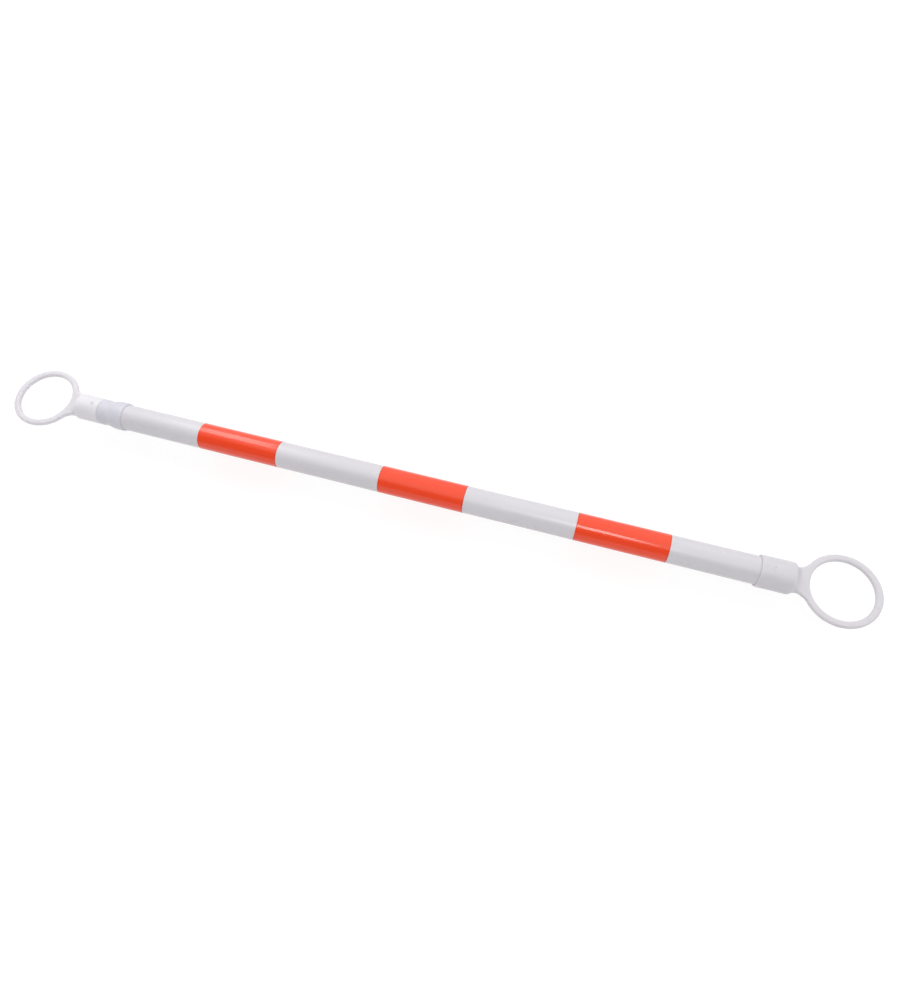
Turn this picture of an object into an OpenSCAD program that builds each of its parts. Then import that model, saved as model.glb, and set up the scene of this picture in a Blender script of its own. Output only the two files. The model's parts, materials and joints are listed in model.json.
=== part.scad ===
// Telescopic cone bar: a banded outer tube and a sliding inner tube, each with a ring end.
// The bar lies along X, the rings lie level, and the origin is the middle of the closed bar.

/* [Overall] */
// Length of the closed bar over both rings
closed_len = 1200; // [1100:10:1600]
// Free length behind the sliding end inside the closed bar
end_room = 72; // [50:1:120]
// Gap between faces that stop against each other
stop_gap = 0.3; // [0.1:0.1:1]

/* [Tubes] */
// Outside diameter of the outer tube
outer_tube_d = 36; // [35.5:0.5:42]
// Wall of the outer tube
outer_tube_wall = 1.5; // [1:0.1:1.8]
// Outside diameter of the inner tube
inner_tube_d = 30; // [28:0.5:30.5]
// Wall of the inner tube
inner_tube_wall = 1.5; // [1:0.1:2.5]
// Radial clearance of a tube in its socket
socket_clear = 0.1; // [0.05:0.05:0.3]

/* [Film bands] */
// Length of one red band
band_len = 117; // [60:1:140]
// Distance from one band to the next on the outer tube
band_pitch = 263.5; // [200:0.5:280]
// Shift of these bands from the middle of the bare tube, towards the fixed end
band_shift = 6; // [0:1:30]
// Bare length beyond the bands at each end of the drawn-out inner tube
inner_band_margin = 78; // [40:1:100]
// Thickness of the film
film_t = 0.2; // [0.1:0.05:0.3]
// Layer of adhesive under the film
film_gap = 0.03; // [0.01:0.01:0.05]
// Open seam where the ends of a wrap meet
film_seam = 0.8; // [0.2:0.1:3]

/* [Ring ends] */
// Bore of the rings
ring_bore_d = 76; // [60:1:100]
// Radial width of a ring
ring_w = 8.5; // [6:0.5:12]
// Height of a ring and of its neck
ring_h = 7; // [5:0.5:10]
// Radius of the ring's edges
ring_round = 2; // [0.5:0.1:2.4]
// Distance from the ring's outside to the round socket
neck_len = 11.5; // [8:0.5:20]
// Least width of the flat neck
neck_w = 32; // [26:0.5:36]
// Length of the round socket on the outer tube
outer_socket_len = 42; // [32:0.5:60]
// Length of the round socket on the inner tube
inner_socket_len = 37.5; // [30:0.5:60]
// Wall of the socket on the outer tube
outer_socket_wall = 2.2; // [1.8:0.1:4]
// Wall of the socket on the inner tube
inner_socket_wall = 3; // [2:0.1:4]
// Solid wall behind the socket's bore
socket_floor = 3; // [2:0.5:6]
// Radius of the socket's mouth edge
socket_edge = 1; // [0.2:0.1:1.5]
// Radius of the socket's shoulder at the neck
socket_shoulder = 4; // [1:0.5:5]

/* [Socket screws] */
// Distance of the screws from the socket's shoulder
screw_at = 26; // [12:0.5:27]
// Diameter of the countersunk head
screw_head_d = 5.6; // [4.5:0.1:7]
// Diameter of the shank
screw_shank_d = 3; // [2:0.1:3.5]
// Length of the screw
screw_len = 7; // [6:0.5:9]
// Depth of the head below the socket's surface
screw_sink = 0.3; // [0.1:0.1:0.6]
// Clearance around the screw
screw_clear = 0.1; // [0.05:0.05:0.2]

/* [Collar] */
// Length of the collar
collar_len = 39; // [34:0.5:60]
// Length of the collar ahead of the tube's end
collar_lip_len = 19.5; // [17:0.5:24]
// Length of the rim at the front
collar_rim_len = 6.5; // [4:0.5:8]
// Place of the waist from the front
collar_waist_at = 11; // [9.5:0.5:13]
// Place where the flare has its full size
collar_flare_at = 26; // [22:0.5:32]
// Wall at the rim
collar_rim_wall = 2.65; // [2:0.05:3]
// Wall at the waist
collar_waist_wall = 1.8; // [1:0.05:2]
// Wall over the outer tube
collar_wall = 1.9; // [1.2:0.1:3]
// Radius of the collar's front edge
collar_edge = 1; // [0.3:0.1:1.1]
// Length over which the collar's back end thins out
collar_taper = 5; // [1:0.5:8]
// Wall at the collar's back end
collar_end_wall = 0.35; // [0.2:0.05:1]
// Radial clearance of the collar on the outer tube
collar_clear = 0.05; // [0.02:0.01:0.1]

/* [Mouth bush] */
// Length of the liner inside the outer tube
mouth_bush_len = 30; // [15:1:50]
// Thickness of its flange
mouth_flange_t = 1.5; // [1:0.1:2.5]
// Radial clearance of the liner in the outer tube
mouth_bush_clear = 0.05; // [0.02:0.01:0.1]
// Radial clearance around the film on the inner tube
mouth_clear = 0.3; // [0.2:0.05:0.4]

/* [Sliding end] */
// Length of the friction bush
bush_len = 22; // [16:1:40]
// Radial clearance of the bush in the outer tube
bush_clear = 0.3; // [0.2:0.05:0.4]
// End play of the bush on its journal
bush_play = 0.3; // [0.1:0.1:0.6]
// Diameter of the journal
journal_d = 20; // [14:0.5:22]
// Radial clearance of running fits
run_clear = 0.08; // [0.02:0.01:0.1]
// Thickness of a rubber ring
friction_ring_t = 2.4; // [1.8:0.1:3]
// Clearance of a rubber ring in its groove
groove_clear = 0.05; // [0.02:0.01:0.1]
// Length of the plug inside the inner tube
plug_len = 25; // [15:1:40]
// Wall of the hollow plug
plug_wall = 2.5; // [1.5:0.1:4]
// Thickness of the plug's flange
plug_flange_t = 3; // [2:0.1:6]
// Radial clearance of the plug in the inner tube
plug_clear = 0.05; // [0.02:0.01:0.1]
// Diameter of the retaining washer
retainer_d = 27; // [24:0.5:30]
// Thickness of the retaining washer
retainer_t = 2; // [1:0.1:4]
// Diameter of the retaining screw's head
retainer_head_d = 8; // [6:0.5:10]
// Height of the retaining screw's head
retainer_head_h = 2.2; // [1.5:0.1:4]
// Diameter of the retaining screw's shank
retainer_shank_d = 3.5; // [2.5:0.1:4.5]
// Length of the retaining screw's shank
retainer_shank_len = 18; // [10:0.5:22]

/* [Hidden] */
$fn = 96;
// Overrun of cuts past a face
overrun = 1;
// How far a blend runs into the shape that it meets
blend_sink = 0.25;
// Steps of a rounded edge and of an eased curve
edge_steps = 6;
ease_steps = 12;
// Places of the two rubber rings along the bush, as shares of its length
friction_ring_shares = [0.27, 0.73];
// Size of a screw's driver recess, as shares of the head's diameter
driver_length_share = 0.62;
driver_width_share = 0.16;
driver_depth_share = 0.2;
// Length of a screw's point, as a share of its shank's diameter
screw_point_share = 0.8;

outer_tube_r = outer_tube_d / 2;
outer_bore_r = outer_tube_r - outer_tube_wall;
inner_tube_r = inner_tube_d / 2;
inner_bore_r = inner_tube_r - inner_tube_wall;
film_build = film_gap + film_t;

ring_bore_r = ring_bore_d / 2;
ring_r = ring_bore_r + ring_w;
ring_mid_r = ring_bore_r + ring_w / 2;
neck_reach = ring_r + neck_len;
outer_socket_bore_r = outer_tube_r + socket_clear;
inner_socket_bore_r = inner_tube_r + socket_clear;
outer_socket_r = outer_socket_bore_r + outer_socket_wall;
inner_socket_r = inner_socket_bore_r + inner_socket_wall;

// Places along the bar
ring_x = closed_len / 2 - ring_r;
outer_mouth_x = ring_x - neck_reach - outer_socket_len;
inner_mouth_x = -ring_x + neck_reach + inner_socket_len;
outer_screws_x = ring_x - neck_reach - screw_at;
inner_screws_x = -ring_x + neck_reach + screw_at;
outer_tube_end_x = ring_x - neck_reach - socket_floor - stop_gap;
inner_tube_start_x = -ring_x + neck_reach + socket_floor + stop_gap;
collar_x = inner_mouth_x + stop_gap;
outer_tube_start_x = collar_x + collar_lip_len + mouth_flange_t;
mouth_bush_end_x = outer_tube_start_x + mouth_bush_len;
retainer_end_x = outer_tube_end_x - end_room - retainer_head_h;
bush_end_x = retainer_end_x - retainer_t - bush_play;
bush_x = bush_end_x - bush_len;
inner_tube_end_x = bush_x - bush_play - plug_flange_t;
travel = bush_x - mouth_bush_end_x - stop_gap;

outer_bands_x = (collar_x + collar_len + outer_mouth_x) / 2 + band_shift;
inner_bands_x = inner_mouth_x + travel / 2;
inner_band_pitch = (travel - 2 * inner_band_margin - band_len) / 2;
mouth_r = inner_tube_r + film_build + mouth_clear;

// Points of a quarter round about c, from angle a to angle a + 90
function quarter(c, r, a) =
    [for (i = [0:edge_steps]) c + r * [cos(a + 90 * i / edge_steps), sin(a + 90 * i / edge_steps)]];

// Points of a quarter of an ellipse about c, from its radius r[0] round to its radius r[1]
function quarter_ellipse(c, r) =
    [for (i = [0:ease_steps]) c + [r[0] * cos(90 * i / ease_steps), r[1] * sin(90 * i / ease_steps)]];

// Points of a smooth step of an outline from p to q, level at both ends
function eased(p, q) = [
    for (i = [1:ease_steps - 1])
        let (t = i / ease_steps)
        [p[0] + (q[0] - p[0]) * t * t * (3 - 2 * t), p[1] + (q[1] - p[1]) * t]
];

// Lays a shape's Z axis along the bar, starting at a place on it
module along_bar(x) {
    translate([x, 0, 0]) rotate([0, 90, 0]) children();
}

module plain_tube(r, bore_r, from_x, to_x) {
    along_bar(from_x) difference() {
        cylinder(r = r, h = to_x - from_x);
        translate([0, 0, -overrun]) cylinder(r = bore_r, h = to_x - from_x + 2 * overrun);
    }
}

// One wrap of film whose open seam is underneath
module film_wrap(tube_r, middle_x) {
    inside_r = tube_r + film_gap;
    seam_angle = film_seam / inside_r * 180 / PI;
    along_bar(middle_x - band_len / 2)
        rotate([0, 0, seam_angle / 2])
        rotate_extrude(angle = 360 - seam_angle)
        translate([inside_r, 0])
        square([film_t, band_len]);
}

// Countersunk screw pointing down, with the middle of its head's face at the origin
module countersunk_screw() {
    head_r = screw_head_d / 2;
    shank_r = screw_shank_d / 2;
    point = screw_shank_d * screw_point_share;
    slot = screw_head_d * [driver_length_share, driver_width_share, driver_depth_share];
    difference() {
        rotate_extrude() polygon([
            [0, 0], [head_r, 0], [shank_r, shank_r - head_r], [shank_r, point - screw_len], [0, -screw_len]
        ]);
        for (turn = [0, 90])
            rotate([0, 0, turn])
            translate([-slot[0] / 2, -slot[1] / 2, -slot[2]])
            cube([slot[0], slot[1], slot[2] + overrun]);
    }
}

// The hole that the screw needs
module countersunk_hole() {
    head_r = screw_head_d / 2 + screw_clear;
    shank_r = screw_shank_d / 2 + screw_clear;
    top = screw_sink + overrun;
    bottom = -screw_len - overrun;
    rotate_extrude() polygon([
        [0, top], [head_r, top], [head_r, 0], [shank_r, shank_r - head_r], [shank_r, bottom], [0, bottom]
    ]);
}

// Puts a shape above and below the bar, just under a socket's surface
module at_socket_screws(x, socket_r) {
    for (turn = [0, 180])
        translate([x, 0, 0])
        rotate([turn, 0, 0])
        translate([0, 0, socket_r - screw_sink])
        children();
}

// Section of the ring: a bar with four rounded edges, standing on the bore
module ring_section() {
    h = ring_h / 2;
    translate([ring_bore_r, 0]) polygon(concat(
        quarter([ring_w - ring_round, h - ring_round], ring_round, 0),
        quarter([ring_round, h - ring_round], ring_round, 90),
        quarter([ring_round, ring_round - h], ring_round, 180),
        quarter([ring_w - ring_round, ring_round - h], ring_round, 270)
    ));
}

// Flat neck and the scoop that rises from it to the socket's shoulder, drawn in on both sides by a round
// that runs into the ring
module ring_neck(socket_r) {
    half_w = neck_w / 2;
    meet_r = ring_r - blend_sink;
    side_r = (neck_reach * neck_reach + half_w * half_w - meet_r * meet_r) / (2 * (meet_r - half_w));
    side_y = half_w + side_r;
    meet = [neck_reach, side_y] * meet_r / (meet_r + side_r);
    shoulder_r = socket_r - socket_shoulder;
    scoop_r = shoulder_r - ring_h / 2 + blend_sink;
    scoop_x = neck_reach - scoop_r;
    difference() {
        union() {
            translate([meet[0], -meet[1], -ring_h / 2])
                cube([neck_reach + socket_shoulder - meet[0], 2 * meet[1], ring_h]);
            difference() {
                along_bar(scoop_x) cylinder(r = shoulder_r, h = scoop_r);
                for (side = [-1, 1])
                    translate([scoop_x, 0, side * shoulder_r])
                    rotate([90, 0, 0])
                    cylinder(r = scoop_r, h = 2 * socket_r + 2 * overrun, center = true);
            }
        }
        for (side = [-1, 1])
            translate([neck_reach, side * side_y, 0])
            cylinder(r = side_r, h = 2 * socket_r + 2 * overrun, center = true);
        cylinder(r = ring_mid_r, h = 2 * socket_r + 2 * overrun, center = true);
    }
}

// A ring end with its ring about the origin and its socket towards +X
module ring_end(socket_r, bore_r, socket_len) {
    difference() {
        union() {
            rotate_extrude() ring_section();
            ring_neck(socket_r);
            along_bar(neck_reach) rotate_extrude() polygon(concat(
                [[0, 0]],
                quarter([socket_r - socket_shoulder, socket_shoulder], socket_shoulder, 270),
                quarter([socket_r - socket_edge, socket_len - socket_edge], socket_edge, 0),
                [[0, socket_len]]
            ));
        }
        along_bar(neck_reach + socket_floor) cylinder(r = bore_r, h = socket_len);
        at_socket_screws(neck_reach + screw_at, socket_r) countersunk_hole();
    }
}

module outer_tube() {
    color("white") difference() {
        plain_tube(outer_tube_r, outer_bore_r, outer_tube_start_x, outer_tube_end_x);
        at_socket_screws(outer_screws_x, outer_socket_r) countersunk_hole();
    }
}

module inner_tube() {
    color("white") difference() {
        plain_tube(inner_tube_r, inner_bore_r, inner_tube_start_x, inner_tube_end_x);
        at_socket_screws(inner_screws_x, inner_socket_r) countersunk_hole();
    }
}

module outer_band(place) {
    color("orangered") film_wrap(outer_tube_r, outer_bands_x + place * band_pitch);
}

module inner_band(place) {
    color("orangered") film_wrap(inner_tube_r, inner_bands_x + place * inner_band_pitch);
}

module outer_ring_end() {
    color("white") translate([ring_x, 0, 0]) rotate([0, 0, 180])
        ring_end(outer_socket_r, outer_socket_bore_r, outer_socket_len);
}

module inner_ring_end() {
    color("white") translate([-ring_x, 0, 0])
        ring_end(inner_socket_r, inner_socket_bore_r, inner_socket_len);
}

module outer_ring_screws() {
    color("silver") at_socket_screws(outer_screws_x, outer_socket_r) countersunk_screw();
}

module inner_ring_screws() {
    color("silver") at_socket_screws(inner_screws_x, inner_socket_r) countersunk_screw();
}

// Rim, waist and flare outside; a lip ahead of the tube and a seat over it inside
module collar() {
    rim_r = mouth_r + collar_rim_wall;
    waist_r = mouth_r + collar_waist_wall;
    seat_r = outer_tube_r + collar_clear;
    flare_r = seat_r + collar_wall;
    rim = [rim_r, collar_rim_len];
    waist = [waist_r, collar_waist_at];
    flare = [flare_r, collar_flare_at];
    back = quarter_ellipse(
        [seat_r + collar_end_wall, collar_len - collar_taper], [collar_wall - collar_end_wall, collar_taper]);
    front = quarter([rim_r - collar_edge, collar_edge], collar_edge, 270);
    color("lightsteelblue") along_bar(collar_x) rotate_extrude() polygon(concat(
        [[mouth_r, 0]], front, [rim], eased(rim, waist), [waist], eased(waist, flare), [flare], back,
        [[seat_r, collar_len], [seat_r, collar_lip_len], [mouth_r, collar_lip_len]]
    ));
}

module mouth_bush() {
    liner_r = outer_bore_r - mouth_bush_clear;
    length = mouth_flange_t + mouth_bush_len;
    color("gainsboro") along_bar(outer_tube_start_x - mouth_flange_t) rotate_extrude() polygon([
        [mouth_r, 0], [outer_tube_r, 0], [outer_tube_r, mouth_flange_t], [liner_r, mouth_flange_t],
        [liner_r, length], [mouth_r, length]
    ]);
}

// Hollow plug, flange and journal, with a pilot hole for the retaining screw
module end_plug() {
    plug_r = inner_bore_r - plug_clear;
    journal_r = journal_d / 2;
    journal_len = bush_len + 2 * bush_play;
    pilot_r = retainer_shank_d / 2 + screw_clear;
    length = plug_len + plug_flange_t + journal_len;
    pilot_start = length - retainer_shank_len + retainer_t - overrun;
    color("dimgray") along_bar(inner_tube_end_x - plug_len) difference() {
        rotate_extrude() polygon([
            [0, 0], [plug_r, 0], [plug_r, plug_len], [inner_tube_r, plug_len],
            [inner_tube_r, plug_len + plug_flange_t], [journal_r, plug_len + plug_flange_t],
            [journal_r, length], [0, length]
        ]);
        translate([0, 0, -overrun]) cylinder(r = plug_r - plug_wall, h = plug_len + overrun);
        translate([0, 0, pilot_start]) cylinder(r = pilot_r, h = length - pilot_start + overrun);
    }
}

// Radius of the middle of a rubber ring's section
function friction_ring_r() = outer_bore_r - run_clear - friction_ring_t / 2;

module friction_bush() {
    groove_r = friction_ring_r() - friction_ring_t / 2 - groove_clear;
    groove_w = friction_ring_t + 2 * groove_clear;
    color("gray") along_bar(bush_x) difference() {
        cylinder(r = outer_bore_r - bush_clear, h = bush_len);
        translate([0, 0, -overrun]) cylinder(r = journal_d / 2 + run_clear, h = bush_len + 2 * overrun);
        for (share = friction_ring_shares)
            translate([0, 0, bush_len * share - groove_w / 2])
            rotate_extrude()
            translate([groove_r, 0])
            square([outer_bore_r - groove_r, groove_w]);
    }
}

module friction_rings() {
    color("black") along_bar(bush_x)
        for (share = friction_ring_shares)
            translate([0, 0, bush_len * share])
            rotate_extrude()
            translate([friction_ring_r(), 0])
            circle(r = friction_ring_t / 2);
}

module bush_retainer() {
    hole_r = retainer_shank_d / 2 + screw_clear;
    color("silver") along_bar(retainer_end_x - retainer_t) difference() {
        cylinder(r = retainer_d / 2, h = retainer_t);
        translate([0, 0, -overrun]) cylinder(r = hole_r, h = retainer_t + 2 * overrun);
    }
}

module retainer_screw() {
    head_r = retainer_head_d / 2;
    shank_r = retainer_shank_d / 2;
    point = retainer_shank_d * screw_point_share;
    slot = retainer_head_d * [driver_length_share, driver_width_share, driver_depth_share];
    color("silver") along_bar(retainer_end_x) difference() {
        rotate_extrude() polygon([
            [0, retainer_head_h], [head_r, retainer_head_h], [head_r, 0], [shank_r, 0],
            [shank_r, point - retainer_shank_len], [0, -retainer_shank_len]
        ]);
        for (turn = [0, 90])
            rotate([0, 0, turn])
            translate([-slot[0] / 2, -slot[1] / 2, retainer_head_h - slot[2]])
            cube([slot[0], slot[1], slot[2] + overrun]);
    }
}

outer_tube();
outer_band(-1);  // outer_band_left
outer_band(0);  // outer_band_middle
outer_band(1);  // outer_band_right
outer_ring_end();
outer_ring_screws();
collar();
mouth_bush();
inner_tube();
inner_band(-1);  // inner_band_left
inner_band(0);  // inner_band_middle
inner_band(1);  // inner_band_right
inner_ring_end();
inner_ring_screws();
end_plug();
friction_bush();
friction_rings();
bush_retainer();
retainer_screw();
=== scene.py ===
"""Looks of a telescopic cone bar: banded outer tube, sliding inner tube and a moulded ring at each end.

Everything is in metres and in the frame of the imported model: the bar lies along X and its rings lie level.
"""
import json
import math
from types import SimpleNamespace

import bpy
import numpy as np
from mathutils import Matrix, Vector


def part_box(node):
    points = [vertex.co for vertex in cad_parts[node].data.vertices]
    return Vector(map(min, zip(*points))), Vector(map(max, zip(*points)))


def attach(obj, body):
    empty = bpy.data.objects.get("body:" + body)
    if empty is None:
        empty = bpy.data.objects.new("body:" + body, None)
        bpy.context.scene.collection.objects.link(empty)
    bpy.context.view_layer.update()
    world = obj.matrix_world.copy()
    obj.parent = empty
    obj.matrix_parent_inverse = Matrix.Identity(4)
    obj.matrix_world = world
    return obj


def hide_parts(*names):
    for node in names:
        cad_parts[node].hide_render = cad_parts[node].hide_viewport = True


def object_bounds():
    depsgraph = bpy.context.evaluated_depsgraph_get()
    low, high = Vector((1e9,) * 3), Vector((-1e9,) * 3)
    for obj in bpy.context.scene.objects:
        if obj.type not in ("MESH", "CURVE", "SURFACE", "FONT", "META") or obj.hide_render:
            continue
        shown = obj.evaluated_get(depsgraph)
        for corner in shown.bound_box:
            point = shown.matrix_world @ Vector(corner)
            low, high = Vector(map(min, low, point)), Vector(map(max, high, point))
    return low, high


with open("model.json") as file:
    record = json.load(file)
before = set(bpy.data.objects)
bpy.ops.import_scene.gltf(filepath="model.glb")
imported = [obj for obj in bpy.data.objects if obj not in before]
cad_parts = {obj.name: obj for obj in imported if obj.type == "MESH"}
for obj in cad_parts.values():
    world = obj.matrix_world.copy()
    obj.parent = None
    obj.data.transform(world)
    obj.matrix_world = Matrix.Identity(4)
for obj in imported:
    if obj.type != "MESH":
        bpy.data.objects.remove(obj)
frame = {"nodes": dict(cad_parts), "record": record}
cad_low, cad_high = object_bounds()
mounts = {mount["name"]: mount for mount in frame["record"]["mounts"]}

MM = 0.001
SIDES = ("outer", "inner")
FILM_POSITIONS = ("left", "middle", "right")
PLAIN_NODES = (
    "mouth_bush", "end_plug", "friction_bush", "friction_rings", "bush_retainer", "retainer_screw")


# Sizes measured on the frame

def node_points(node):
    """Corners of a CAD node's mesh, one row each."""
    mesh = frame["nodes"][node].data
    flat = np.empty(3 * len(mesh.vertices))
    mesh.vertices.foreach_get("co", flat)
    return flat.reshape(-1, 3)


def turned(node):
    """Ends and least and greatest radius of a node that is turned about the bar's axis."""
    points = node_points(node)
    radius = np.hypot(points[:, 1], points[:, 2])
    return SimpleNamespace(
        start=points[:, 0].min(), end=points[:, 0].max(), inside=radius.min(), outside=radius.max())


# Mesh tools

ROUND_STEPS = 6
TURN_STEPS = 192
CELL_CORNERS = 8
RELAX_ROUNDS = 3
NEWTON_ROUNDS = 4
PROBE_SHARE = 0.05
LEAST_STEEPNESS = 0.1
LEAST_LENGTH = 1e-12


def make_piece(name, points, faces, material, body, slot, node):
    """A smooth mesh object that stands for a CAD node and rides on its body."""
    mesh = bpy.data.meshes.new(name)
    mesh.from_pydata(points, [], faces)
    mesh.validate()
    mesh.polygons.foreach_set("use_smooth", [True] * len(mesh.polygons))
    mesh.materials.append(material)
    piece = bpy.data.objects.new(name, mesh)
    bpy.context.scene.collection.objects.link(piece)
    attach(piece, body)
    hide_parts(node)
    return piece


def rounded(corners):
    """Outline through (along, radius, rounding) corners, with each corner rounded."""
    outline = []
    for i, (x, r, rounding) in enumerate(corners):
        here = np.array([x, r])
        if rounding == 0:
            outline.append(here)
            continue
        before = np.array(corners[i - 1][:2]) - here
        after = np.array(corners[(i + 1) % len(corners)][:2]) - here
        before = before / np.linalg.norm(before)
        after = after / np.linalg.norm(after)
        half = math.acos(np.clip(before @ after, -1, 1)) / 2
        middle = (before + after) / np.linalg.norm(before + after)
        centre = here + middle * rounding / math.sin(half)
        first = here + before * rounding / math.tan(half) - centre
        last = here + after * rounding / math.tan(half) - centre
        sweep = math.pi - 2 * half
        for step in range(ROUND_STEPS + 1):
            share = step / ROUND_STEPS
            arm = first * math.sin((1 - share) * sweep) + last * math.sin(share * sweep)
            outline.append(centre + arm / math.sin(sweep))
    return outline


def turn(outline, gap=0.0):
    """Points and faces of an outline turned about the bar, open underneath by an angle."""
    outline = np.array(outline)
    count = len(outline)
    steps = TURN_STEPS if gap == 0 else TURN_STEPS + 1
    angles = gap / 2 + np.arange(steps) * (2 * math.pi - gap) / TURN_STEPS
    points = np.empty((steps, count, 3))
    points[..., 0] = outline[:, 0]
    points[..., 1] = outline[:, 1] * np.sin(angles)[:, None]
    points[..., 2] = -outline[:, 1] * np.cos(angles)[:, None]
    faces = []
    for i in range(TURN_STEPS):
        here = i * count
        there = (i + 1) % steps * count
        for j in range(count):
            k = (j + 1) % count
            faces.append((here + j, here + k, there + k, there + j))
    if gap:
        last = (steps - 1) * count
        faces.append(list(reversed(range(count))))
        faces.append([last + j for j in range(count)])
    return points.reshape(-1, 3), faces


def turned_piece(name, outline, *look, gap=0.0):
    """A turned piece whose long faces keep their own shading beside rounded edges."""
    piece = make_piece(name, *turn(outline, gap), *look)
    piece.modifiers.new("even_shading", "WEIGHTED_NORMAL")
    return piece


def smooth_min(a, b, reach):
    """The lesser of two fields, blended where they are close."""
    near = np.maximum(reach - np.abs(a - b), 0) / reach
    return np.minimum(a, b) - near * near * reach / 4


def smooth_max(a, b, reach):
    """The greater of two fields, blended where they are close."""
    return -smooth_min(-a, -b, reach)


def round_slab(side, face, rounding):
    """Field of a shape between a side and a face, with its edge rounded."""
    a = side + rounding
    b = face + rounding
    return np.minimum(np.maximum(a, b), 0) + np.hypot(np.maximum(a, 0), np.maximum(b, 0)) - rounding


def net(field, low, high, step):
    """Points and faces of a closed mesh where a field of distances is zero."""
    low = np.array(low)
    sizes = [int(math.ceil((b - a) / step)) + 1 for a, b in zip(low, high)]
    grid = low + step * np.stack(np.meshgrid(*map(np.arange, sizes), indexing="ij"), -1)
    inside = field(grid) < 0
    cells = np.array(sizes) - 1
    filled = sum(
        inside[i:cells[0] + i, j:cells[1] + j, k:cells[2] + k].astype(np.int8)
        for i in (0, 1) for j in (0, 1) for k in (0, 1))
    crossed = (filled > 0) & (filled < CELL_CORNERS)
    index = np.full(cells, -1)
    index[crossed] = np.arange(crossed.sum())
    points = low + (np.argwhere(crossed) + 0.5) * step
    quads = []
    for axis in range(3):
        near = np.take(inside, np.arange(cells[axis]), axis)
        far = np.take(inside, np.arange(1, cells[axis] + 1), axis)
        edge = np.argwhere(near != far)
        b = np.eye(3, dtype=int)[(axis + 1) % 3]
        c = np.eye(3, dtype=int)[(axis + 2) % 3]
        corners = [edge - b - c, edge - c, edge, edge - b]
        quad = np.stack([index[tuple(corner.T)] for corner in corners], 1)
        leaves = near[tuple(edge.T)]
        quads.append(np.where(leaves[:, None], quad, quad[:, ::-1]))
    quads = np.concatenate(quads)
    for _ in range(RELAX_ROUNDS):
        points = onto(field, points, step)
        points = relaxed(points, quads)
    return onto(field, points, step), quads.tolist()


def onto(field, points, step):
    """Moves points onto the zero of a field, by half a step at most in each round."""
    probe = PROBE_SHARE * step
    for _ in range(NEWTON_ROUNDS):
        rises = [field(points + probe * unit) - field(points - probe * unit) for unit in np.eye(3)]
        slope = np.stack(rises, 1) / (2 * probe)
        steepness = np.maximum((slope * slope).sum(1), LEAST_STEEPNESS)
        move = slope * (field(points) / steepness)[:, None]
        length = np.linalg.norm(move, axis=1, keepdims=True)
        points = points - move * np.minimum(1, step / 2 / np.maximum(length, LEAST_LENGTH))
    return points


def relaxed(points, quads):
    """Points moved halfway to the middle of their neighbours."""
    total = np.zeros_like(points)
    count = np.zeros(len(points))
    for i in range(4):
        for j in (i - 1, (i + 1) % 4):
            np.add.at(total, quads[:, i], points[quads[:, j]])
            np.add.at(count, quads[:, i], 1)
    return (points + total / count[:, None]) / 2


# Material tools

UNIT = (0, 1)
NOISE_MIDDLE = (0.3, 0.7)
MIX_SHARE, MIX_FIRST, MIX_SECOND, MIX_RESULT = 0, 6, 7, 2


def feed(tree, node, inputs):
    """Links each input of a node to a socket, or sets it where the value is the same all over."""
    for key, value in inputs.items():
        if isinstance(value, bpy.types.NodeSocket):
            tree.links.new(value, node.inputs[key])
        else:
            node.inputs[key].default_value = value


def add_node(tree, kind, inputs, **settings):
    """A shader node with its settings, and its inputs given by name or number."""
    node = tree.nodes.new("ShaderNode" + kind)
    for key, value in settings.items():
        setattr(node, key, value)
    feed(tree, node, inputs)
    return node


def new_material(name):
    """A material with its node tree and main shader."""
    material = bpy.data.materials.new(name)
    material.use_nodes = True
    tree = material.node_tree
    return material, tree, tree.nodes["Principled BSDF"]


def place(tree, stretch=(1, 1, 1)):
    """Places on the piece in metres, stretched along each axis."""
    where = add_node(tree, "TexCoord", {}).outputs["Object"]
    return add_node(tree, "VectorMath", {0: where, 1: stretch}, operation="MULTIPLY").outputs[0]


def noise(tree, where, scale, detail=3.0, roughness=0.5):
    """Cloudy noise with so many features to a metre."""
    inputs = {"Vector": where, "Scale": scale, "Detail": detail, "Roughness": roughness}
    return add_node(tree, "TexNoise", inputs).outputs[0]


def remap(tree, value, span, target):
    """A value taken from one span to another, and held at its ends."""
    inputs = {
        "Value": value, "From Min": span[0], "From Max": span[1], "To Min": target[0], "To Max": target[1]}
    return add_node(tree, "MapRange", inputs).outputs[0]


def math_node(tree, operation, a, b):
    """A sum, product or the like of two values."""
    return add_node(tree, "Math", {0: a, 1: b}, operation=operation).outputs[0]


def mixed(tree, share, first, second):
    """The first colour where share is 0 and the second where it is 1."""
    inputs = {MIX_SHARE: share, MIX_FIRST: first, MIX_SECOND: second}
    return add_node(tree, "Mix", inputs, data_type="RGBA").outputs[MIX_RESULT]


def bumped(tree, height, depth, strength, below=None):
    """Normals of a relief of some depth, on top of those below it."""
    inputs = {"Height": height, "Distance": depth, "Strength": strength}
    if below is not None:
        inputs["Normal"] = below
    return add_node(tree, "Bump", inputs).outputs[0]


def specks(tree, scale, share, radius):
    """Spots of 1 on 0: one in a share of the cells of a pattern, with a radius in cells."""
    cells = add_node(tree, "TexVoronoi", {"Vector": place(tree), "Scale": scale})
    pick = add_node(tree, "SeparateColor", {0: cells.outputs["Color"]}).outputs[0]
    chosen = math_node(tree, "LESS_THAN", pick, share)
    spot = remap(tree, cells.outputs["Distance"], (radius, radius / 2), UNIT)
    return math_node(tree, "MULTIPLY", chosen, spot)


def colour(red, green, blue):
    return (red, green, blue, 1)


def grey(level):
    return colour(level, level, level)


def tinted(tint, tone):
    return colour(*(tone * part for part in tint))


# Materials

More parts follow.
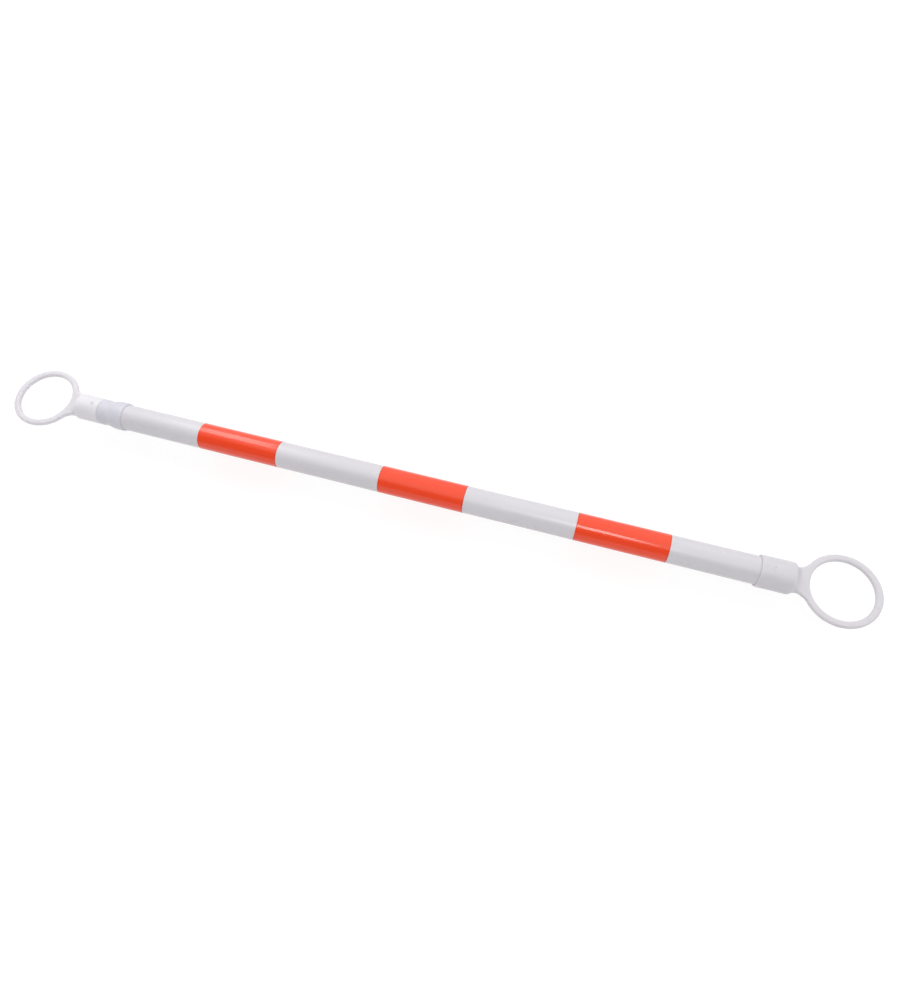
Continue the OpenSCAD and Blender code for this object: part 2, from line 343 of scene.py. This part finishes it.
TUBE_WHITES = (colour(0.69, 0.667, 0.705), colour(0.71, 0.687, 0.725))
TUBE_SPECK = colour(0.42, 0.4, 0.4)
MOULDING_TINTS = ((1, 0.967, 1.02), (1.03, 1, 1.05))
MOULDING_SPECK = colour(0.45, 0.43, 0.43)
FILM_BEADS = (colour(0.92, 0.053, 0.012), colour(0.98, 0.079, 0.02))
FILM_MOTTLE = colour(0.93, 0.058, 0.013)
FILM_WORN = colour(0.58, 0.035, 0.012)
COLLAR_GREYS = (colour(0.66, 0.648, 0.72), colour(0.7, 0.688, 0.757))
STEEL_GREYS = (colour(0.53, 0.517, 0.53), colour(0.64, 0.625, 0.64))
BUSH_GREYS = (colour(0.37, 0.38, 0.4), colour(0.46, 0.47, 0.49))
RUBBER_BLACKS = (colour(0.02, 0.02, 0.02), colour(0.055, 0.053, 0.05))

# Span over which the inner socket's painted light fades in from its ring.
RING_TONE_REACH = 50 * MM
SOCKET_TONE_START = 62 * MM
FILM_MARGIN_SHARE = 0.016
WHOLE_MOULDING = SimpleNamespace(tone=0.69, scatter=0.4)
INNER_END_RING = SimpleNamespace(tone=0.69, scatter=0.9)
# Painted light: the inner socket's lighter tone stands in for the stronger light that falls on it.
PAINTED_LIT_SOCKET = SimpleNamespace(tone=0.82, scatter=0.1)


def white_tube_material():
    """Extruded white plastic: glossy, with fine lines along the bar, faint scuffs and a few specks."""
    material, tree, shader = new_material("white_tube")
    cloud = noise(tree, place(tree, (0.4, 1, 1)), scale=30)
    lines = noise(tree, place(tree, (0.01, 1, 1)), scale=900, detail=4)
    scuffs = noise(tree, place(tree, (1, 0.12, 0.12)), scale=260, detail=6, roughness=0.7)
    base = mixed(tree, remap(tree, cloud, NOISE_MIDDLE, UNIT), *TUBE_WHITES)
    base = mixed(tree, specks(tree, scale=90, share=0.06, radius=0.035), base, TUBE_SPECK)
    gloss = remap(tree, cloud, NOISE_MIDDLE, (0.24, 0.32))
    scuffed = remap(tree, scuffs, (0.62, 0.72), (0, 0.14))
    normal = bumped(tree, lines, depth=0.03 * MM, strength=0.5)
    feed(tree, shader, {
        "Base Color": base,
        "Roughness": math_node(tree, "ADD", gloss, scuffed),
        "Normal": bumped(tree, cloud, depth=0.4 * MM, strength=0.05, below=normal),
        "IOR": 1.52,
    })
    return material


def beyond_ring(tree, side):
    """0 on the ring of one end and 1 on its socket."""
    inputs = {0: place(tree), 1: mounts[side + "_ring_bore"]["pos_m"]}
    from_ring = add_node(tree, "VectorMath", inputs, operation="DISTANCE").outputs["Value"]
    return remap(tree, from_ring, (RING_TONE_REACH, SOCKET_TONE_START), UNIT)


def white_moulding_material(name, depth, ring, socket=None, side=None):
    """Moulded white plastic: satin and a little translucent, with a fine grain and slow flow marks.

    The ring's tone and its share of light that scatters below the face hold all over,
    unless the socket has its own. A socket's own tone is painted light: it is lighter than its ring
    and stands in for the stronger light that falls on the socket.
    """
    material, tree, shader = new_material(name)
    flow = noise(tree, place(tree), scale=45)
    grain = noise(tree, place(tree), scale=2600, detail=2)
    whites = [tinted(tint, ring.tone) for tint in MOULDING_TINTS]
    scatter = ring.scatter
    if socket:
        on_socket = beyond_ring(tree, side)
        # Painted light: the socket takes a lighter copy of the ring's whites, for the stronger light on it.
        painted_lit_whites = [tinted(tint, socket.tone) for tint in MOULDING_TINTS]
        whites = [mixed(tree, on_socket, *pair) for pair in zip(whites, painted_lit_whites)]
        scatter = remap(tree, on_socket, UNIT, (ring.scatter, socket.scatter))
    base = mixed(tree, remap(tree, flow, NOISE_MIDDLE, UNIT), *whites)
    normal = bumped(tree, grain, depth=0.03 * MM, strength=0.35)
    feed(tree, shader, {
        "Base Color": mixed(tree, specks(tree, scale=110, share=0.05, radius=0.04), base, MOULDING_SPECK),
        "Roughness": remap(tree, flow, NOISE_MIDDLE, (0.34, 0.44)),
        "Normal": bumped(tree, flow, depth=0.6 * MM, strength=0.1, below=normal),
        "IOR": 1.5,
        "Subsurface Weight": scatter,
        "Subsurface Radius": (depth, depth, depth),
        "Subsurface Scale": 1.0,
    })
    return material


def film_margin(tree):
    """1 at both ends of a film, unevenly, and 0 past a narrow margin."""
    whole = add_node(tree, "TexCoord", {}).outputs["Generated"]
    along = add_node(tree, "SeparateXYZ", {0: whole}).outputs["X"]
    from_end = math_node(tree, "PINGPONG", along, 0.5)
    near = remap(tree, from_end, (0, FILM_MARGIN_SHARE), (1, 0))
    uneven = remap(tree, noise(tree, place(tree), scale=260), NOISE_MIDDLE, (0.25, 1))
    return math_node(tree, "MULTIPLY", near, uneven)


def red_film_material():
    """Red reflective film: fine beads under a clear, slightly wavy face, with worn margins."""
    material, tree, shader = new_material("red_film")
    beads = add_node(tree, "TexVoronoi", {"Vector": place(tree), "Scale": 3200})
    bead = add_node(tree, "SeparateColor", {0: beads.outputs["Color"]}).outputs[0]
    mottle = noise(tree, place(tree), scale=70, detail=4)
    waves = noise(tree, place(tree, (0.35, 1, 1)), scale=55, detail=2)
    base = mixed(tree, bead, *FILM_BEADS)
    base = mixed(tree, remap(tree, mottle, (0.3, 0.75), (0, 0.35)), base, FILM_MOTTLE)
    normal = bumped(tree, waves, depth=0.5 * MM, strength=0.12)
    feed(tree, shader, {
        "Base Color": mixed(tree, film_margin(tree), base, FILM_WORN),
        "Roughness": remap(tree, mottle, NOISE_MIDDLE, (0.3, 0.42)),
        "Normal": normal,
        "Specular IOR Level": 0.03,
        "Coat Weight": 0.93,
        "Coat Roughness": 0.12,
        "Coat IOR": 1.48,
        "Coat Normal": normal,
    })
    return material


def grey_collar_material():
    """Soft pale blue-grey plastic, satin and a little cloudy."""
    material, tree, shader = new_material("grey_collar")
    cloud = noise(tree, place(tree), scale=60)
    lines = noise(tree, place(tree, (1, 0.05, 0.05)), scale=1500)
    feed(tree, shader, {
        "Base Color": mixed(tree, remap(tree, cloud, NOISE_MIDDLE, UNIT), *COLLAR_GREYS),
        "Roughness": remap(tree, cloud, NOISE_MIDDLE, (0.3, 0.4)),
        "Normal": bumped(tree, lines, depth=0.04 * MM, strength=0.4),
        "Subsurface Weight": 0.15,
        "Subsurface Radius": (2 * MM, 2 * MM, 2.4 * MM),
        "Subsurface Scale": 1.0,
    })
    return material


def steel_material():
    """Plain zinc-coated steel with fine marks and dull patches."""
    material, tree, shader = new_material("screw_steel")
    marks = noise(tree, place(tree), scale=1800, detail=4, roughness=0.65)
    patches = noise(tree, place(tree), scale=500)
    feed(tree, shader, {
        "Base Color": mixed(tree, patches, *STEEL_GREYS),
        "Roughness": remap(tree, patches, NOISE_MIDDLE, (0.5, 0.64)),
        "Normal": bumped(tree, marks, depth=0.04 * MM, strength=0.5),
        "Metallic": 1.0,
    })
    return material


def bush_plastic_material():
    """Grey moulded plastic with a fine grain."""
    material, tree, shader = new_material("bush_plastic")
    flow = noise(tree, place(tree), scale=90)
    grain = noise(tree, place(tree), scale=2400, detail=2)
    feed(tree, shader, {
        "Base Color": mixed(tree, flow, *BUSH_GREYS),
        "Roughness": remap(tree, flow, NOISE_MIDDLE, (0.42, 0.55)),
        "Normal": bumped(tree, grain, depth=0.03 * MM, strength=0.4),
    })
    return material


def rubber_material():
    """Black rubber, dull, with a dusty bloom."""
    material, tree, shader = new_material("friction_rubber")
    bloom = noise(tree, place(tree), scale=160, detail=5, roughness=0.6)
    grain = noise(tree, place(tree), scale=3000, detail=2)
    feed(tree, shader, {
        "Base Color": mixed(tree, remap(tree, bloom, (0.45, 0.75), UNIT), *RUBBER_BLACKS),
        "Roughness": remap(tree, bloom, NOISE_MIDDLE, (0.6, 0.8)),
        "Normal": bumped(tree, grain, depth=0.05 * MM, strength=0.5),
    })
    return material


slot_materials = {
    "white_tube": white_tube_material(),
    "white_moulding": white_moulding_material("white_moulding", 4 * MM, WHOLE_MOULDING),
    "red_film": red_film_material(),
    "grey_collar": grey_collar_material(),
    "bush_plastic": bush_plastic_material(),
    "friction_rubber": rubber_material(),
    "screw_steel": steel_material(),
}
own_materials = {
    # The inner end's socket gets painted light: a lighter tone than its ring.
    "inner_ring_end": white_moulding_material(
        "white_moulding_painted_lit", 8 * MM, INNER_END_RING, PAINTED_LIT_SOCKET, "inner"),
}


def look_of(node):
    """Material and body that a piece standing for a CAD node takes, with the node's slot and name."""
    record = frame["record"]
    slot = next(part["material_slot"] for part in record["subparts"] if part["node"] == node)
    body = next(name for name, nodes in record["behaviour"]["bodies"].items() if node in nodes)
    return own_materials.get(node, slot_materials[slot]), body, slot, node


# Tubes and films

TUBE_EDGE = 0.3 * MM
FILM_EDGE = 0.08 * MM
FILM_SEAM = 0.8 * MM


def make_tube(node):
    """A tube with rounded edges."""
    tube = turned(node)
    outline = rounded([
        (tube.start, tube.inside, TUBE_EDGE), (tube.end, tube.inside, TUBE_EDGE),
        (tube.end, tube.outside, TUBE_EDGE), (tube.start, tube.outside, TUBE_EDGE)])
    return turned_piece(node + "_skin", outline, *look_of(node))


def make_film(node):
    """A wrap of film whose ends leave a narrow seam underneath."""
    film = turned(node)
    outline = rounded([
        (film.start, film.inside, 0), (film.end, film.inside, 0),
        (film.end, film.outside, FILM_EDGE), (film.start, film.outside, FILM_EDGE)])
    return turned_piece(node + "_film", outline, *look_of(node), gap=FILM_SEAM / film.inside)


for side in SIDES:
    make_tube(side + "_tube")
for side in SIDES:
    for position in FILM_POSITIONS:
        make_film(f"{side}_band_{position}")


# Collar

COLLAR_LIP = 19.5 * MM
COLLAR_RIM = 6.5 * MM
COLLAR_WAIST_AT = 11 * MM
COLLAR_FLARE_AT = 26 * MM
COLLAR_RIM_DROP = 1.77 * MM
COLLAR_WAIST_DROP = 2.62 * MM
COLLAR_SEAT_CLEAR = 0.05 * MM
COLLAR_EDGE = 1 * MM
COLLAR_TAPER = 5 * MM
COLLAR_END_WALL = 0.35 * MM
EASE_STEPS = 14


def ease(share):
    """A smooth step from 0 to 1, level at both ends."""
    return share * share * (3 - 2 * share)


def eased(start, end):
    """Corners of a smooth step of an outline, between its two ends."""
    shares = [i / EASE_STEPS for i in range(1, EASE_STEPS)]
    return [
        (start[0] + (end[0] - start[0]) * share, start[1] + (end[1] - start[1]) * ease(share), 0)
        for share in shares]


def make_collar():
    """The collar: a rim at the mouth, a waist, and a flare with a rounded end on the outer tube."""
    collar = turned("collar")
    lip = collar.start + COLLAR_LIP
    seat_r = turned("outer_tube").outside + COLLAR_SEAT_CLEAR
    end_r = seat_r + COLLAR_END_WALL
    rim_r = collar.outside - COLLAR_RIM_DROP
    rim = (collar.start + COLLAR_RIM, rim_r)
    waist = (collar.start + COLLAR_WAIST_AT, collar.outside - COLLAR_WAIST_DROP)
    flare = (collar.start + COLLAR_FLARE_AT, collar.outside)
    taper = [
        (collar.end - COLLAR_TAPER * (1 - math.cos(angle)),
         end_r + (collar.outside - end_r) * math.sin(angle), 0)
        for angle in np.linspace(0, math.pi / 2, EASE_STEPS)]
    corners = [
        (lip, collar.inside, 0), (lip, seat_r, 0), (collar.end, seat_r, 0), *taper, (*flare, 0),
        *eased(flare, waist), (*waist, 0), *eased(waist, rim), (*rim, 0),
        (collar.start, rim_r, COLLAR_EDGE), (collar.start, collar.inside, TUBE_EDGE)]
    return turned_piece("collar_skin", rounded(corners), *look_of("collar"))


make_collar()


# Ring ends

END_STEP = 0.6 * MM
END_MARGIN = 2 * MM
MOUTH_SLICE = 0.01 * MM
NECK_LEN = 11.5 * MM
NECK_WIDTH = 32 * MM
RING_ROUND = 3 * MM
MOUTH_ROUND = 1 * MM
SHOULDER_ROUND = 4 * MM
SOCKET_FLOOR = 3 * MM
SOCKET_BLEND = 4 * MM
SCOOP_START = 48.5 * MM
SCOOP_PAST_REACH = 5.5 * MM
CUT_BLEND = 0.4 * MM
SCREW_HOLE_BLEND = 1.2 * MM
SCREW_CLEAR = 0.1 * MM
SHANK_R = 1.5 * MM


def measure_ring_end(side):
    """Sizes of a ring end, seen with its ring about the origin and its socket along +X."""
    mount = mounts[side + "_ring_bore"]
    centre = mount["pos_m"][0]
    facing = -math.copysign(1, centre)
    points = node_points(side + "_ring_end")
    along = (points[:, 0] - centre) * facing
    from_axis = np.hypot(points[:, 1], points[:, 2])
    end = SimpleNamespace(centre=centre, facing=facing, bore_r=mount["dims"]["r_mm"] * MM)
    end.ring_r = points[:, 1].max()
    end.half_h = points[along < 0, 2].max()
    end.socket_r = points[:, 2].max()
    end.neck_reach = end.ring_r + NECK_LEN
    end.mouth = along.max()
    end.tube_bore_r = from_axis[along > end.mouth - MOUTH_SLICE].min()
    screws_low, screws_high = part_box(side + "_ring_screws")
    end.screw = SimpleNamespace(
        x=(screws_low.x + screws_high.x) / 2, head_r=(screws_high.x - screws_low.x) / 2, top=screws_high.z)
    end.screw.along = (end.screw.x - centre) * facing
    return end


def ring_plan(end, along, y):
    """Field, seen from above, of a ring and its neck, whose flanks are arcs that run into the ring."""
    half_w = NECK_WIDTH / 2
    reach = end.neck_reach
    flank_r = (reach ** 2 + half_w ** 2 - end.ring_r ** 2) / (2 * (end.ring_r - half_w))
    flank_y = half_w + flank_r
    from_centre = np.hypot(along, y)
    flank = flank_r - np.hypot(np.minimum(along - reach, 0), np.minimum(y - flank_y, 0))
    on_neck = along * flank_y > y * reach
    plan = np.where(on_neck, flank, from_centre - end.ring_r)
    plan = np.maximum(plan, along - reach - SOCKET_FLOOR / 2)
    return np.maximum(plan, end.bore_r - from_centre)


def scooped_top(end, along, y, z):
    """Field of a flat ring's top, which rises along the neck into an arch as round as the socket."""
    scoop_len = end.neck_reach + SCOOP_PAST_REACH - SCOOP_START
    arch = np.sqrt(np.maximum(end.socket_r ** 2 - y ** 2, end.half_h ** 2))
    climb = np.clip((along - SCOOP_START) / scoop_len, 0, 1)
    rise = ease(climb)
    slope_along = (arch - end.half_h) * 6 * climb * (1 - climb) / scoop_len
    slope_across = rise * y / arch
    top = z - end.half_h - (arch - end.half_h) * rise
    return top / np.sqrt(1 + slope_along ** 2 + slope_across ** 2)


def screw_hole(screw, along, y, z):
    """Field of the two countersunk screw holes of a socket."""
    head_r = screw.head_r + SCREW_CLEAR
    shank_r = SHANK_R + SCREW_CLEAR
    sink_start = screw.top - (head_r - shank_r)
    sink = np.clip(z - sink_start, 0, head_r - shank_r)
    return np.hypot(along - screw.along, y) - shank_r - sink


def ring_end_field(end, points):
    """Field of a ring end: a flat ring, a scooped neck and a round socket with its bore and screw holes."""
    along = points[..., 0]
    y = np.abs(points[..., 1])
    z = np.abs(points[..., 2])
    from_axis = np.hypot(y, z)
    past_socket = from_axis - end.socket_r
    plate = round_slab(ring_plan(end, along, y), scooped_top(end, along, y, z), RING_ROUND)
    socket = np.maximum(
        round_slab(past_socket, end.neck_reach - along, SHOULDER_ROUND),
        round_slab(past_socket, along - end.mouth, MOUTH_ROUND))
    solid = smooth_min(plate, socket, SOCKET_BLEND)
    solid = np.maximum(solid, np.minimum(past_socket, z - end.half_h))
    bore = np.maximum(from_axis - end.tube_bore_r, end.neck_reach + SOCKET_FLOOR - along)
    solid = smooth_max(solid, -bore, CUT_BLEND)
    return smooth_max(solid, -screw_hole(end.screw, along, y, z), SCREW_HOLE_BLEND)


def make_ring_end(side):
    """The moulded end of one side, turned to face the bar."""
    end = measure_ring_end(side)
    low = (-end.ring_r - END_MARGIN, -end.ring_r - END_MARGIN, -end.socket_r - END_MARGIN)
    high = (end.mouth + END_MARGIN, end.ring_r + END_MARGIN, end.socket_r + END_MARGIN)
    points, faces = net(lambda points: ring_end_field(end, points), low, high, END_STEP)
    points = points * (end.facing, end.facing, 1) + (end.centre, 0, 0)
    node = side + "_ring_end"
    return make_piece(node + "_moulding", points, faces, *look_of(node))


for side in SIDES:
    make_ring_end(side)


# Screws

SCREW_STEP = 0.11 * MM
SCREW_MARGIN = 3 * SCREW_STEP
SCREW_LEN = 7 * MM
SCREW_ROOT_R = 1.1 * MM
THREAD_PITCH = 1.3 * MM
THREAD_STEEPNESS = 1.5
POINT_LEN = 2.4 * MM
RECESS_HALF_LEN = 1.5 * MM
RECESS_HALF_WIDTH = 0.34 * MM
RECESS_DEPTH = 0.7 * MM
SCREW_BLEND = 0.15 * MM


def screw_field(head_r, points):
    """Field of a countersunk self-tapping screw that points down from the origin."""
    x, y, z = points[..., 0], points[..., 1], points[..., 2]
    from_axis = np.hypot(x, y)
    head = np.maximum((from_axis - head_r - z) * math.sqrt(0.5), z)
    head = np.maximum(head, SHANK_R - head_r - z)
    turns = z / THREAD_PITCH - np.arctan2(y, x) / (2 * math.pi)
    crest = np.abs(2 * (turns - np.floor(turns)) - 1) ** 2
    taper = np.clip((z + SCREW_LEN) / POINT_LEN, 0, 1)
    thread_r = (SCREW_ROOT_R + (SHANK_R - SCREW_ROOT_R) * crest) * taper
    shank = (from_axis - thread_r) / THREAD_STEEPNESS
    shank = np.maximum(np.maximum(shank, z + head_r / 2), -z - SCREW_LEN)
    narrow = 1 + np.clip(z / RECESS_DEPTH, -1, 0) / 2
    arms = [
        np.maximum(np.abs(a) - RECESS_HALF_LEN * narrow, np.abs(b) - RECESS_HALF_WIDTH * narrow)
        for a, b in ((x, y), (y, x))]
    recess = np.maximum(np.minimum(*arms), -z - RECESS_DEPTH)
    return smooth_max(smooth_min(head, shank, SCREW_BLEND), -recess, SCREW_BLEND)


def make_screws(side):
    """The two screws of a socket, above and below."""
    screw = measure_ring_end(side).screw
    reach = screw.head_r + SCREW_MARGIN
    low = (-reach, -reach, -SCREW_LEN - SCREW_MARGIN)
    high = (reach, reach, SCREW_MARGIN)
    points, faces = net(lambda points: screw_field(screw.head_r, points), low, high, SCREW_STEP)
    above = points + (screw.x, 0, screw.top)
    below = points * (1, -1, -1) + (screw.x, 0, -screw.top)
    more = [[i + len(points) for i in face] for face in faces]
    node = side + "_ring_screws"
    return make_piece(node + "_steel", np.concatenate([above, below]), faces + more, *look_of(node))


for side in SIDES:
    make_screws(side)


# Inner pieces keep their CAD shapes

for node in PLAIN_NODES:
    mesh = frame["nodes"][node].data
    mesh.materials.clear()
    mesh.materials.append(look_of(node)[0])


# Stage

FLOOR_REACH = 12
FLOOR_CLEAR = 1 * MM
FLOOR_ALBEDO = 0.9
SHADE_ALBEDO = 0.26
GLOW_STRETCH = (0.5, 1, 0)
GLOW_SPAN = (0.9, 2.4)
GLOW_STRENGTH = (0.79, 0.93)
FLAG_ALBEDO = 0.3
FRONT_FLAG = SimpleNamespace(reach=4, y=-2.4, low=0.3, high=3.0)
LEFT_FLAG_Z = 2.6
LEFT_FLAG_CORNERS = [(-4.5, -2.6), (-0.5, -2.6), (-1.03, -1.51), (-1.87, 0.2), (-4.5, 0.3)]
WORLD_LIGHT = 0.46
WORLD_SHOWN = 1


def shown_directly(tree):
    """1 for what the camera sees, also by reflection or through glass, and 0 for light on the object."""
    path = add_node(tree, "LightPath", {}).outputs
    seen = math_node(tree, "MAXIMUM", path["Is Camera Ray"], path["Is Glossy Ray"])
    return math_node(tree, "MAXIMUM", seen, path["Is Transmission Ray"])


def stage_material(name):
    """A material with no shader yet, its tree and its output."""
    material, tree, shader = new_material(name)
    tree.nodes.remove(shader)
    return material, tree, tree.nodes["Material Output"]


def floor_material():
    """White floor that keeps a soft shadow, and glows a little more away from the bar."""
    material, tree, output = stage_material("floor")
    lit = add_node(tree, "BsdfDiffuse", {"Color": grey(FLOOR_ALBEDO)}).outputs[0]
    shade = add_node(tree, "BsdfDiffuse", {"Color": grey(SHADE_ALBEDO)}).outputs[0]
    away = add_node(tree, "VectorMath", {0: place(tree, GLOW_STRETCH)}, operation="LENGTH").outputs["Value"]
    strength = remap(tree, away, GLOW_SPAN, GLOW_STRENGTH)
    glow = add_node(tree, "Emission", {"Color": grey(1), "Strength": strength}).outputs[0]
    pale = add_node(tree, "AddShader", {0: shade, 1: glow}).outputs[0]
    either = add_node(tree, "MixShader", {0: shown_directly(tree), 1: lit, 2: pale}).outputs[0]
    feed(tree, output, {"Surface": either})
    return material


def flag_material():
    """Dull grey cloth."""
    material, tree, output = stage_material("flag")
    cloth = add_node(tree, "BsdfDiffuse", {"Color": grey(FLAG_ALBEDO)}).outputs[0]
    feed(tree, output, {"Surface": cloth})
    return material


def make_backdrop(name, corners, material):
    """A flat sheet of the stage through its corners."""
    mesh = bpy.data.meshes.new(name)
    mesh.from_pydata(corners, [], [range(len(corners))])
    mesh.materials.append(material)
    sheet = bpy.data.objects.new(name, mesh)
    bpy.context.scene.collection.objects.link(sheet)
    return sheet


def make_floor():
    """The floor, just below a ring that the twist turns upright."""
    z = -cad_high.y - FLOOR_CLEAR
    corners = [
        (-FLOOR_REACH, -FLOOR_REACH, z), (FLOOR_REACH, -FLOOR_REACH, z),
        (FLOOR_REACH, FLOOR_REACH, z), (-FLOOR_REACH, FLOOR_REACH, z)]
    return make_backdrop("floor", corners, floor_material())


def make_flag(name, corners):
    """A dark sheet that shows only in reflections."""
    flag = make_backdrop(name, corners, flag_material())
    flag.visible_camera = False
    flag.visible_diffuse = False
    flag.visible_shadow = False
    return flag


def make_world():
    """Pale surroundings: white where they are seen, dimmer as a light."""
    world = bpy.data.worlds.new("studio")
    world.use_nodes = True
    tree = world.node_tree
    strength = remap(tree, shown_directly(tree), UNIT, (WORLD_LIGHT, WORLD_SHOWN))
    feed(tree, tree.nodes["Background"], {"Color": grey(1), "Strength": strength})
    bpy.context.scene.world = world


make_floor()
make_flag("front_flag", [
    (-FRONT_FLAG.reach, FRONT_FLAG.y, FRONT_FLAG.low), (FRONT_FLAG.reach, FRONT_FLAG.y, FRONT_FLAG.low),
    (FRONT_FLAG.reach, FRONT_FLAG.y, FRONT_FLAG.high), (-FRONT_FLAG.reach, FRONT_FLAG.y, FRONT_FLAG.high)])
make_flag("left_flag", [(x, y, LEFT_FLAG_Z) for x, y in LEFT_FLAG_CORNERS])
make_world()


# Light

def make_softbox(name, centre, aim, size, radiance):
    """A soft rectangular lamp of an even brightness, hidden from the camera."""
    lamp = bpy.data.lights.new(name, "AREA")
    lamp.shape = "RECTANGLE"
    lamp.size, lamp.size_y = size
    lamp.energy = radiance * math.pi * size[0] * size[1]
    holder = bpy.data.objects.new(name, lamp)
    holder.location = centre
    holder.rotation_euler = (Vector(aim) - Vector(centre)).to_track_quat("-Z", "Y").to_euler()
    holder.visible_camera = False
    bpy.context.scene.collection.objects.link(holder)
    return holder


make_softbox("overhead", centre=(0, 1.02, 1.65), aim=(0, 0.43, 0), size=(6, 4.5), radiance=0.55)
make_softbox("key", centre=(-1.33, 1.06, 1.81), aim=(-1.33, 0, 0), size=(0.4, 1.6), radiance=4.6)
make_softbox("fill", centre=(2.6, -0.3, 0.65), aim=(0.5, 0, 0), size=(1.6, 1.0), radiance=0.6)
make_softbox("strip", centre=(0.355, -0.65, 1.9), aim=(0.2, 0, 0), size=(0.33, 0.6), radiance=8.5)


# Camera, at the place that was fitted to the photograph

PHOTO_HEIGHT = 1000
PHOTO_FOCAL = 700
SENSOR_MM = 36
CAMERA_PLACE = Vector((0.2115, -0.3764, 0.8292))
CAMERA_TARGET = Vector((0.06227, -0.0061, 0))
CAMERA_ROLL = math.radians(-6.244)


def make_camera():
    """The camera, with a focal length in photograph pixels."""
    data = bpy.data.cameras.new("camera")
    data.sensor_width = SENSOR_MM
    data.lens = SENSOR_MM * PHOTO_FOCAL / PHOTO_HEIGHT
    camera = bpy.data.objects.new("camera", data)
    aim = (CAMERA_TARGET - CAMERA_PLACE).to_track_quat("-Z", "Y").to_matrix().to_4x4()
    camera.matrix_world = Matrix.Translation(CAMERA_PLACE) @ aim @ Matrix.Rotation(CAMERA_ROLL, 4, "Z")
    bpy.context.scene.collection.objects.link(camera)
    bpy.context.scene.camera = camera


make_camera()
bpy.context.scene.view_settings.view_transform = "Standard"
